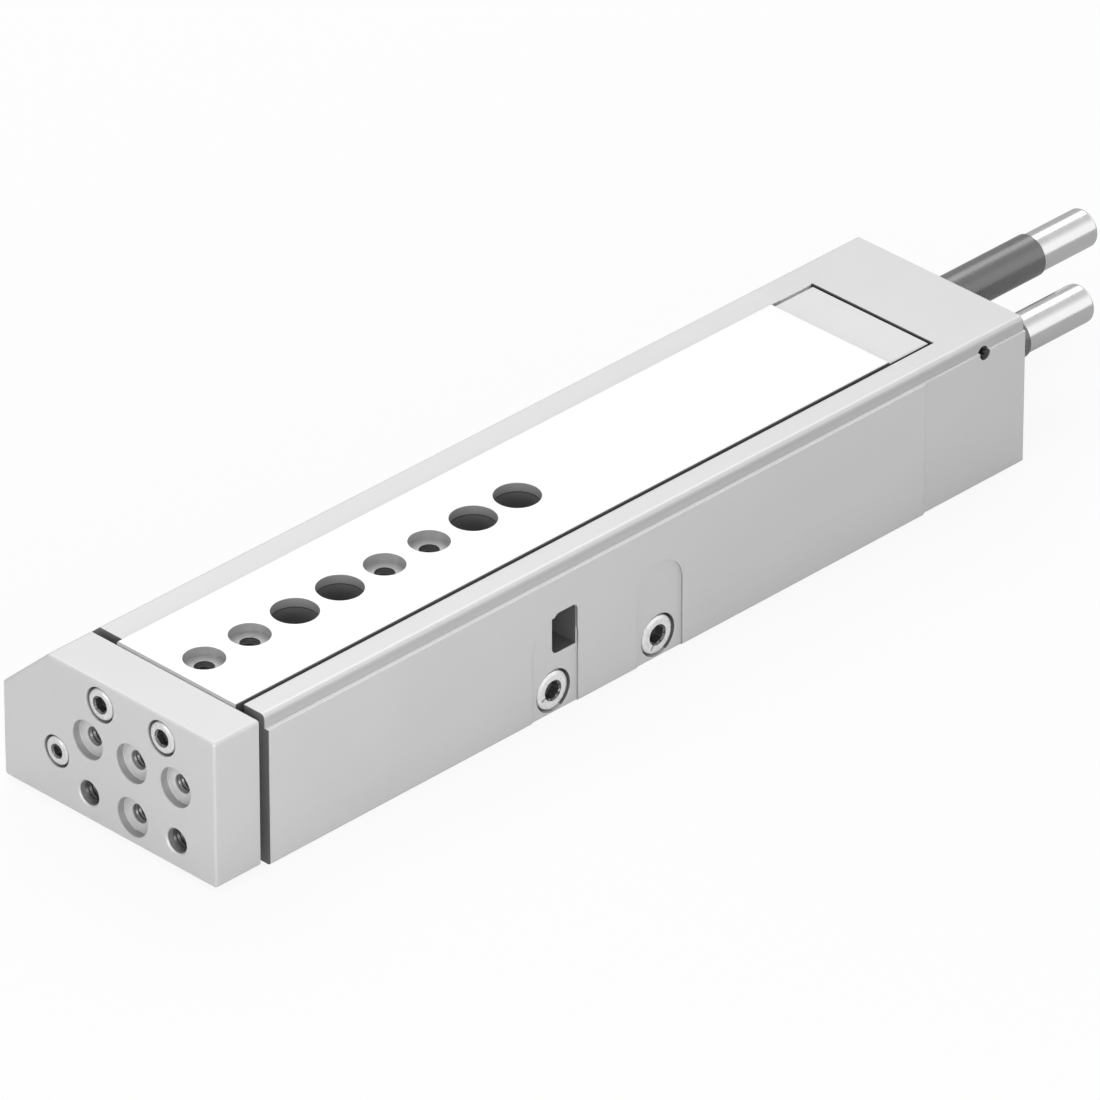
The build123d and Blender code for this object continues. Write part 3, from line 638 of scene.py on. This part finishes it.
def add_ring(points, radius, height):
    """A new loop of edges about Z, the only thing selected."""
    if bpy.context.mode != "OBJECT":
        bpy.ops.mesh.select_all(action="DESELECT")
    bpy.ops.mesh.primitive_circle_add(vertices=points, radius=radius * mm, location=(0, 0, height * mm))


def select_where(test):
    """Select the points of the mesh in edit mode that pass a test on their place in mm."""
    mesh = bmesh.from_edit_mesh(bpy.context.edit_object.data)
    for point in mesh.verts:
        point.select = test(point.co / mm)
    mesh.select_flush_mode()
    bmesh.update_edit_mesh(bpy.context.edit_object.data)


def draw_out(rings, close=False):
    """Extrude the selected loop through (radius, height) rings, of which the first is where it is now."""
    for (radius, height), (next_radius, next_height) in zip(rings, rings[1:]):
        rise = (0, 0, (next_height - height) * mm)
        share = next_radius / radius
        bpy.ops.mesh.extrude_edges_move(TRANSFORM_OT_translate={"value": rise})
        bpy.ops.transform.resize(value=(share, share, 1), center_override=(0, 0, next_height * mm))
    if close:
        bpy.ops.mesh.edge_face_add()


# %% [markdown]
# A thread is a ridge that climbs one pitch in every turn. The Screw modifier sweeps a closed triangle
# that way, which stays light and gives real lead-in ends. The same ridge serves a screw, with its tip
# outwards, and a tapped hole, with its tip towards the axis.

# %% Thread ridge
thread_steps = 24
ridge_foot_share = 0.92


def thread_ridge(root, tip, pitch, bottom, top):
    """A helical ridge about Z from bottom to top, between two radii."""
    deselect_all()
    bpy.ops.mesh.primitive_circle_add(vertices=3, radius=1.0, rotation=(pi / 2, pi / 2, 0))
    ridge = bpy.context.object
    bpy.ops.object.transform_apply(location=True, rotation=True, scale=True)
    depth_share = (tip - root) / 1.5 * mm
    foot_share = ridge_foot_share * pitch / 3 ** 0.5 * mm
    bpy.ops.object.mode_set(mode="EDIT")
    bpy.ops.mesh.select_all(action="SELECT")
    bpy.ops.transform.resize(value=(depth_share, 1, foot_share), center_override=(0, 0, 0))
    bpy.ops.transform.translate(value=(root * mm + depth_share / 2, 0, (bottom + pitch / 2) * mm))
    bpy.ops.object.mode_set(mode="OBJECT")
    sweep = ridge.modifiers.new("sweep", "SCREW")
    sweep.screw_offset = pitch * mm
    sweep.iterations = max(1, int((top - bottom) / pitch) - 1)
    sweep.steps = sweep.render_steps = thread_steps
    bpy.ops.object.modifier_apply(modifier="sweep")
    bpy.ops.object.mode_set(mode="EDIT")
    bpy.ops.mesh.select_all(action="SELECT")
    bpy.ops.mesh.fill_holes(sides=3)
    bpy.ops.mesh.normals_make_consistent(inside=False)
    bpy.ops.object.mode_set(mode="OBJECT")
    return ridge


# %% [markdown]
# A socket head cap screw is a knurled round head with a six-sided hole, on a threaded shank. The hexagon
# is divided until it has as many points as the rim, and the two are bridged, so the socket keeps its flat
# sides. Drilling leaves a cone at the socket's bottom, and turning leaves a small bevel at its mouth.

# %% Socket head screws
mouth = 0.28
socket_depth_share = 0.55
head_bevel_share = 0.06


def socket_mouth(hexagon):
    """The radius at which a socket's bevelled mouth meets the face."""
    return hexagon / 3 ** 0.5 + mouth / 2


def begin_socket(name, hexagon, depth):
    """A new mesh in edit mode with a hexagon socket, and the rim of its mouth selected."""
    deselect_all()
    corner = hexagon / 3 ** 0.5
    add_ring(6, corner, -mouth)
    piece = bpy.context.object
    piece.name = name
    bpy.ops.object.mode_set(mode="EDIT")
    bpy.ops.mesh.subdivide(number_cuts=rim_points // 6 - 1)
    drill_cone = [(corner * 0.9, -depth), (corner * 0.12, -depth * 1.15)]
    draw_out([(corner, -mouth), (corner, -depth)] + drill_cone, close=True)
    bpy.ops.mesh.select_all(action="DESELECT")
    add_ring(rim_points, socket_mouth(hexagon), 0)
    select_where(lambda p: p.z > -mouth - 0.001)
    bpy.ops.mesh.bridge_edge_loops()
    select_where(lambda p: p.z > -0.001)
    return piece


def socket_screw(name, size, length):
    """A screw that points down, with the middle of its head's face at the origin."""
    rim, height, bore = size["head"] / 2, size["height"], size["thread"] / 2
    screw = begin_socket(name, size["hexagon"], height * socket_depth_share)
    face = socket_mouth(size["hexagon"])
    bevel = size["head"] * head_bevel_share
    core = bore - size["pitch"] * 0.6
    end = -height - length
    thread_top = end + size["threaded"]
    head = [
        (face, 0), (face + 0.03, 0), (rim - bevel * 1.6, 0), (rim - bevel * 0.35, -bevel * 0.6),
        (rim, -bevel * 1.4), (rim, -bevel * 1.4 - 0.02), (rim, -height + 0.15), (rim - 0.15, -height),
    ]
    shank = [(bore, -height), (bore, thread_top), (core, thread_top - size["pitch"]), (core, end + 0.3)]
    draw_out(head + shank + [(core - 0.3, end)], close=True)
    knurl_head(rim, bevel * 1.4 + 0.01, height)
    bpy.ops.object.mode_set(mode="OBJECT")
    ridge = thread_ridge(core - 0.02, bore, size["pitch"], end + 0.2, thread_top - 0.2)
    return weld_with(screw, ridge)


# %% [markdown]
# The knurl is what the fingers grip before a key is used. On a head of a few millimetres it is a row of
# fine upright grooves, so every second upright edge of the rim is drawn in a little.

# %% Knurl and joining
groove_share = 0.975


def knurl_head(rim, bevel, height):
    """Draw in every second upright edge of a head."""
    def in_groove(point):
        turn = round((point.xy.angle_signed(Vector((1, 0)), 0.0) % tau) / tau * rim_points)
        on_side = -height + 0.1 < point.z < -bevel
        return abs(point.xy.length - rim) < 0.01 and on_side and turn % 2 == 0
    select_where(in_groove)
    bpy.ops.transform.resize(value=(groove_share, groove_share, 1), center_override=(0, 0, 0))
    bpy.ops.mesh.select_all(action="SELECT")
    bpy.ops.mesh.normals_make_consistent(inside=False)


def weld_with(piece, *others):
    """Join other pieces into one."""
    deselect_all()
    for each in (piece, *others):
        each.select_set(True)
    bpy.context.view_layer.objects.active = piece
    if others:
        bpy.ops.object.join()
    return piece


def mark_turning(piece, socket_radius=0.0, socket_depth=0.0):
    """Keep each point's place on the lathe, so that the finish turns with the screw wherever it goes."""
    names = ("from_axis", "along_axis", "in_socket")
    marks = {name: piece.data.attributes.new(name, "FLOAT", "POINT") for name in names}
    for index, point in enumerate(piece.data.vertices):
        radius = point.co.xy.length
        marks["from_axis"].data[index].value = radius
        marks["along_axis"].data[index].value = point.co.z
        # in_socket marks where the socket's painted shade goes.
        marks["in_socket"].data[index].value = (
            radius < (socket_radius + 0.01) * mm and point.co.z > -socket_depth * mm)


# %% [markdown]
# Each size is modelled once and copied to every place that it has on the slide. A copy is turned so that
# its axis looks out of the face it sits in, and spun by its own angle, because screws never stop in the
# same position. Its place is then applied, so the joined piece sits at the origin like the solids.

# %% Copies in place
smooth_below = 20


def copies_at(master, places, outward, spins):
    """Joined copies of a master, each with its own mesh, looking outward."""
    copies = []
    for place, spin in zip(places, spins):
        deselect_all()
        master.select_set(True)
        bpy.context.view_layer.objects.active = master
        bpy.ops.object.duplicate()
        copy = bpy.context.object
        turn = Vector(outward).to_track_quat("Z", "Y").to_matrix().to_4x4()
        spun = turn @ Matrix.Rotation(radians(spin), 4, "Z")
        copy.matrix_world = Matrix.Translation(Vector(place) * mm) @ spun
        bpy.ops.object.transform_apply(location=True, rotation=True, scale=True)
        copies.append(copy)
    return weld_with(*copies)


def finish_piece(piece, name, finish, body, stands_for=()):
    """Name a finished piece, shade it, and tell the frame what it rides on."""
    piece.name = piece.data.name = name
    weld_with(piece)
    bpy.ops.object.shade_smooth_by_angle(angle=radians(smooth_below))
    piece.data.materials.clear()
    piece.data.materials.append(finish)
    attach(piece, body)
    if stands_for:
        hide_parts(*stands_for)
    print(name, "faces:", len(piece.data.polygons))


# %% [markdown]
# Screws are steel with a bright zinc coat. The two clamp screws take a lighter copy of the finish, which
# is painted light. The coat is a little clouded, faint rings show on the head, the worn rim shines, and the
# socket is painted dark, which is painted shade. The same finish in darker shades serves the set screws and
# the threads, which have no coat; on the threads the dark is painted shade.

# %% Coated screw finish
def coated_screw(name, shade, socket_shade):
    finish = Finish(bpy.data.materials.new(name))
    read = {mark: finish.node("ShaderNodeAttribute", {"attribute_name": mark}, give="Fac")
            for mark in ("from_axis", "along_axis", "in_socket")}
    ring_place = finish.node("ShaderNodeCombineXYZ", {}, {0: read["from_axis"], 1: read["along_axis"]})
    ring = finish.node("ShaderNodeTexNoise", {}, {
        "Vector": ring_place, "Scale": 2 * rings_per_metre, "Detail": 3.0}) - 0.5
    smudge = mottle(finish, 420.0)
    tone = 0.5 + ring * 0.25 + smudge * 0.6
    plain = tint(finish, tone, grey(shade * 0.95), grey(min(1.0, shade * 1.05)))
    # The socket's dark grey is painted shade.
    socket = tint(finish, read["in_socket"], plain, grey(socket_shade))
    worn = edge_wear(finish, 0.12 * mm)
    finish.shade(
        base_color=tint(finish, worn * 0.4, socket, grey(min(1.0, shade * 1.15))),
        metallic=0.35,
        roughness=0.27 + smudge * 0.12,
        normal=relief(finish, smudge, 0.0005 * mm, 0.06 * mm),
    )
    return finish.owner


finishes["bright_screw"] = coated_screw("bright_screw", 0.78, 0.06)
# A lighter copy of the screw finish for the clamp screws: painted light.
finishes["painted_light_screw"] = coated_screw("painted_light_screw", 0.96, 0.08)
# Both thread finishes are painted shade for the deep holes.
finishes["thread_painted_shade"] = coated_screw("thread_painted_shade", 0.20, 0.20)
finishes["thread_painted_deep_shade"] = coated_screw("thread_painted_deep_shade", 0.08, 0.08)
finishes["dark_screw"] = coated_screw("dark_screw", 0.12, 0.06)
print("screw finishes:", [name for name in finishes if "screw" in name or "thread" in name])

# %% [markdown]
# A node holds a whole group of screws, so their places are found in its mesh. Points that lie on one spot
# are merged first, then each solid is gathered by walking along its edges. A solid's box gives the middle
# of its outer end and its length, which is surer than typing the same numbers a second time.

# %% Solids of a group
drawing_step = 0.05
same_spot = 0.0005 * mm


def on_drawing(value):
    """A measure in mm, rounded to the step that drawings use."""
    return round(round(value / drawing_step) * drawing_step, 2)


def solids_in(node):
    """The low and high corners, in mm, of each separate solid of a node, in order of place."""
    mesh = bmesh.new()
    mesh.from_mesh(nodes[node].data)
    mesh.transform(nodes[node].matrix_world)
    bmesh.ops.remove_doubles(mesh, verts=mesh.verts, dist=same_spot)
    waiting = set(mesh.verts)
    corners = []
    while waiting:
        solid = {waiting.pop()}
        fresh = list(solid)
        while fresh:
            point = fresh.pop()
            near = {edge.other_vert(point) for edge in point.link_edges} - solid
            solid |= near
            fresh.extend(near)
        waiting -= solid
        box = []
        for pick in (min, max):
            box.append([on_drawing(pick(point.co[axis] for point in solid) / mm) for axis in range(3)])
        corners.append(box)
    mesh.free()
    return sorted(corners)


def ends_of(node, outward):
    """The middles of the outer ends of a node's solids, and the solids' length and radius, in mm."""
    axis = [abs(part) for part in outward].index(1)
    aside = (axis + 1) % 3
    places = []
    for low, high in solids_in(node):
        places.append([
            on_drawing((a + b) / 2 + (b - a) / 2 * part) for a, b, part in zip(low, high, outward)])
        length, radius = high[axis] - low[axis], (high[aside] - low[aside]) / 2
    return places, on_drawing(length), on_drawing(radius)


# %% [markdown]
# Three sizes hold the slide together, and a slim one sits in front of the piston rod. A size is what the
# maker would order, and the list adds only how each group looks outward and how far each screw has turned.

# %% Screws in place
screw_sizes = {
    "M2.5": {"thread": 2.5, "head": 4.5, "height": 2.5, "hexagon": 2.0, "pitch": 0.45, "threaded": 12.0},
    "M3": {"thread": 3.0, "head": 5.5, "height": 3.0, "hexagon": 2.5, "pitch": 0.5, "threaded": 10.0},
    "M3 slim": {"thread": 3.0, "head": 5.0, "height": 2.2, "hexagon": 2.0, "pitch": 0.5, "threaded": 10.0},
    "M4": {"thread": 4.0, "head": 7.0, "height": 3.8, "hexagon": 3.0, "pitch": 0.7, "threaded": 6.0},
}
towards_front, towards_rear, towards_right = (0, -1, 0), (0, 1, 0), (1, 0, 0)
screw_groups = {
    "yoke_screws": {"size": "M3", "outward": towards_front, "body": "table", "spins": (12, 40)},
    "rod_screw": {"size": "M3 slim", "outward": towards_front, "body": "table", "spins": (25,)},
    "block_screws": {"size": "M4", "outward": towards_right, "body": "housing", "spins": (17, 50)},
    "cap_screws": {"size": "M2.5", "outward": towards_rear, "body": "housing", "spins": (48, 20, 5, 33)},
    "tail_screws": {"size": "M3", "outward": towards_rear, "body": "table", "spins": (8, 37)},
}
# How deep into a socket the painted shade reaches, as a share of the head's height.
dark_depth_share = 0.7
for node, group in screw_groups.items():
    size = screw_sizes[group["size"]]
    places, whole_length, _ = ends_of(node, group["outward"])
    print(node, group["size"], "at", places)
    master = socket_screw("screw", size, on_drawing(whole_length - size["height"]))
    mark_turning(master, socket_mouth(size["hexagon"]), size["height"] * dark_depth_share)
    row = copies_at(master, places, group["outward"], group["spins"])
    bpy.data.objects.remove(master)
    # The clamp screws take the lighter copy, which is painted light.
    finish = finishes["painted_light_screw" if node == "block_screws" else "bright_screw"]
    finish_piece(row, node + "_detailed", finish, group["body"], [node])

# %% [markdown]
# The rear cap's spare ports and the air way are closed with set screws, which are headless: a short
# threaded bar with a socket in its end. They share the socket of the screws and end just behind it.

# %% Set screws
def set_screw(name, radius, hexagon, length):
    """A headless screw that points down, with its socket end at the origin."""
    screw = begin_socket(name, hexagon, length * 0.5)
    face = socket_mouth(hexagon)
    bevel = radius * 0.15
    draw_out([
        (face, 0), (face + 0.02, 0), (radius - bevel, 0), (radius, -bevel),
        (radius, -length + bevel), (radius - bevel, -length),
    ], close=True)
    bpy.ops.mesh.select_all(action="SELECT")
    bpy.ops.mesh.normals_make_consistent(inside=False)
    bpy.ops.object.mode_set(mode="OBJECT")
    mark_turning(screw, face, length * dark_depth_share)
    return screw


plug_groups = {
    "port_plugs": {"hexagon": 2.5, "outward": towards_rear, "spins": (10, 41)},
    "side_plug": {"hexagon": 1.3, "outward": towards_right, "spins": (15,)},
}
for node, group in plug_groups.items():
    places, length, radius = ends_of(node, group["outward"])
    print(node, "radius", radius, "at", places)
    master = set_screw("plug", radius, group["hexagon"], length)
    row = copies_at(master, places, group["outward"], group["spins"])
    bpy.data.objects.remove(master)
    finish_piece(row, node + "_detailed", finishes["dark_screw"], "housing", [node])

# %% [markdown]
# The tapped holes lie on one even grid, in the yoke and along the table, and the air ports keep the same
# spacing. Their places follow from the faces of the pieces, from the line down the middle of the table
# and from the grid, so the numbers below only say how far behind its face each thread begins.

# %% Places of the tapped holes
hole_pitch = 10.0
lowest_holes = 5.5
first_table_hole = 6.2
first_port_to_rear = 18.0
counterbore_to_thread = 1.4
front_to_thread = 0.4
table_top_to_thread = 1.8
left_side_to_thread = 0.35
yoke_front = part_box("yoke_plate")[0].y / mm
table_low, table_high = [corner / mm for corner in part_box("table_plate")]
middle_line = on_drawing((table_low.x + table_high.x) / 2)
grid_left, grid_right = middle_line - hole_pitch, middle_line + hole_pitch
grid_top = lowest_holes + hole_pitch
behind_counterbore = on_drawing(yoke_front + counterbore_to_thread)
behind_front = on_drawing(yoke_front + front_to_thread)
below_table_top = on_drawing(table_high.z - table_top_to_thread)
behind_left = on_drawing(cap_low.x / mm + left_side_to_thread)
table_rows = [on_drawing(table_low.y + first_table_hole + n * hole_pitch) for n in (0, 1, 4, 5)]
port_rows = [on_drawing(cap_high.y / mm - first_port_to_rear + n * hole_pitch) for n in (0, 1)]
cylinder_height = on_drawing(cylinder_axis[2] / mm)
print("middle line", middle_line, "table rows", table_rows, "ports", port_rows, "at", cylinder_height)

# %% [markdown]
# The tapped holes of the solids are plain bores of the thread's core size. A ridge that stands inwards
# from the wall makes each a real thread. The ridges are painted dark grey, a painted shade for the deep
# holes, so only an edge of a ridge catches the light here and there.

# %% Threads of the tapped holes
thread_groups = {
    "yoke_grid_threads": {
        "core": 1.7, "pitch": 0.7, "length": 8.0, "outward": towards_front,
        "body": "table", "finish": "thread_painted_shade",
        "places": [(x, behind_counterbore, grid_top) for x in (grid_left, middle_line, grid_right)]
        + [(middle_line, behind_counterbore, lowest_holes)],
    },
    "yoke_plain_threads": {
        "core": 2.15, "pitch": 0.8, "length": 9.2, "outward": towards_front,
        "body": "table", "finish": "thread_painted_deep_shade",
        "places": [(x, behind_front, lowest_holes) for x in (grid_left, grid_right)],
    },
    "table_threads": {
        "core": 1.7, "pitch": 0.7, "length": 6.0, "outward": (0, 0, 1),
        "body": "table", "finish": "thread_painted_deep_shade",
        "places": [(middle_line, y, below_table_top) for y in table_rows],
    },
    "port_threads": {
        "core": 2.1, "pitch": 0.8, "length": 4.6, "outward": (-1, 0, 0),
        "body": "housing", "finish": "thread_painted_shade",
        "places": [(behind_left, y, cylinder_height) for y in port_rows],
    },
}
thread_depth_share = 0.36
turn_between_holes = 31
for name, group in thread_groups.items():
    tip = group["core"] - thread_depth_share * group["pitch"]
    master = thread_ridge(group["core"] + 0.02, tip, group["pitch"], -group["length"], 0)
    mark_turning(master)
    spins = [turn_between_holes * n for n in range(len(group["places"]))]
    row = copies_at(master, group["places"], group["outward"], spins)
    bpy.data.objects.remove(master)
    finish_piece(row, name, finishes[group["finish"]], group["body"])
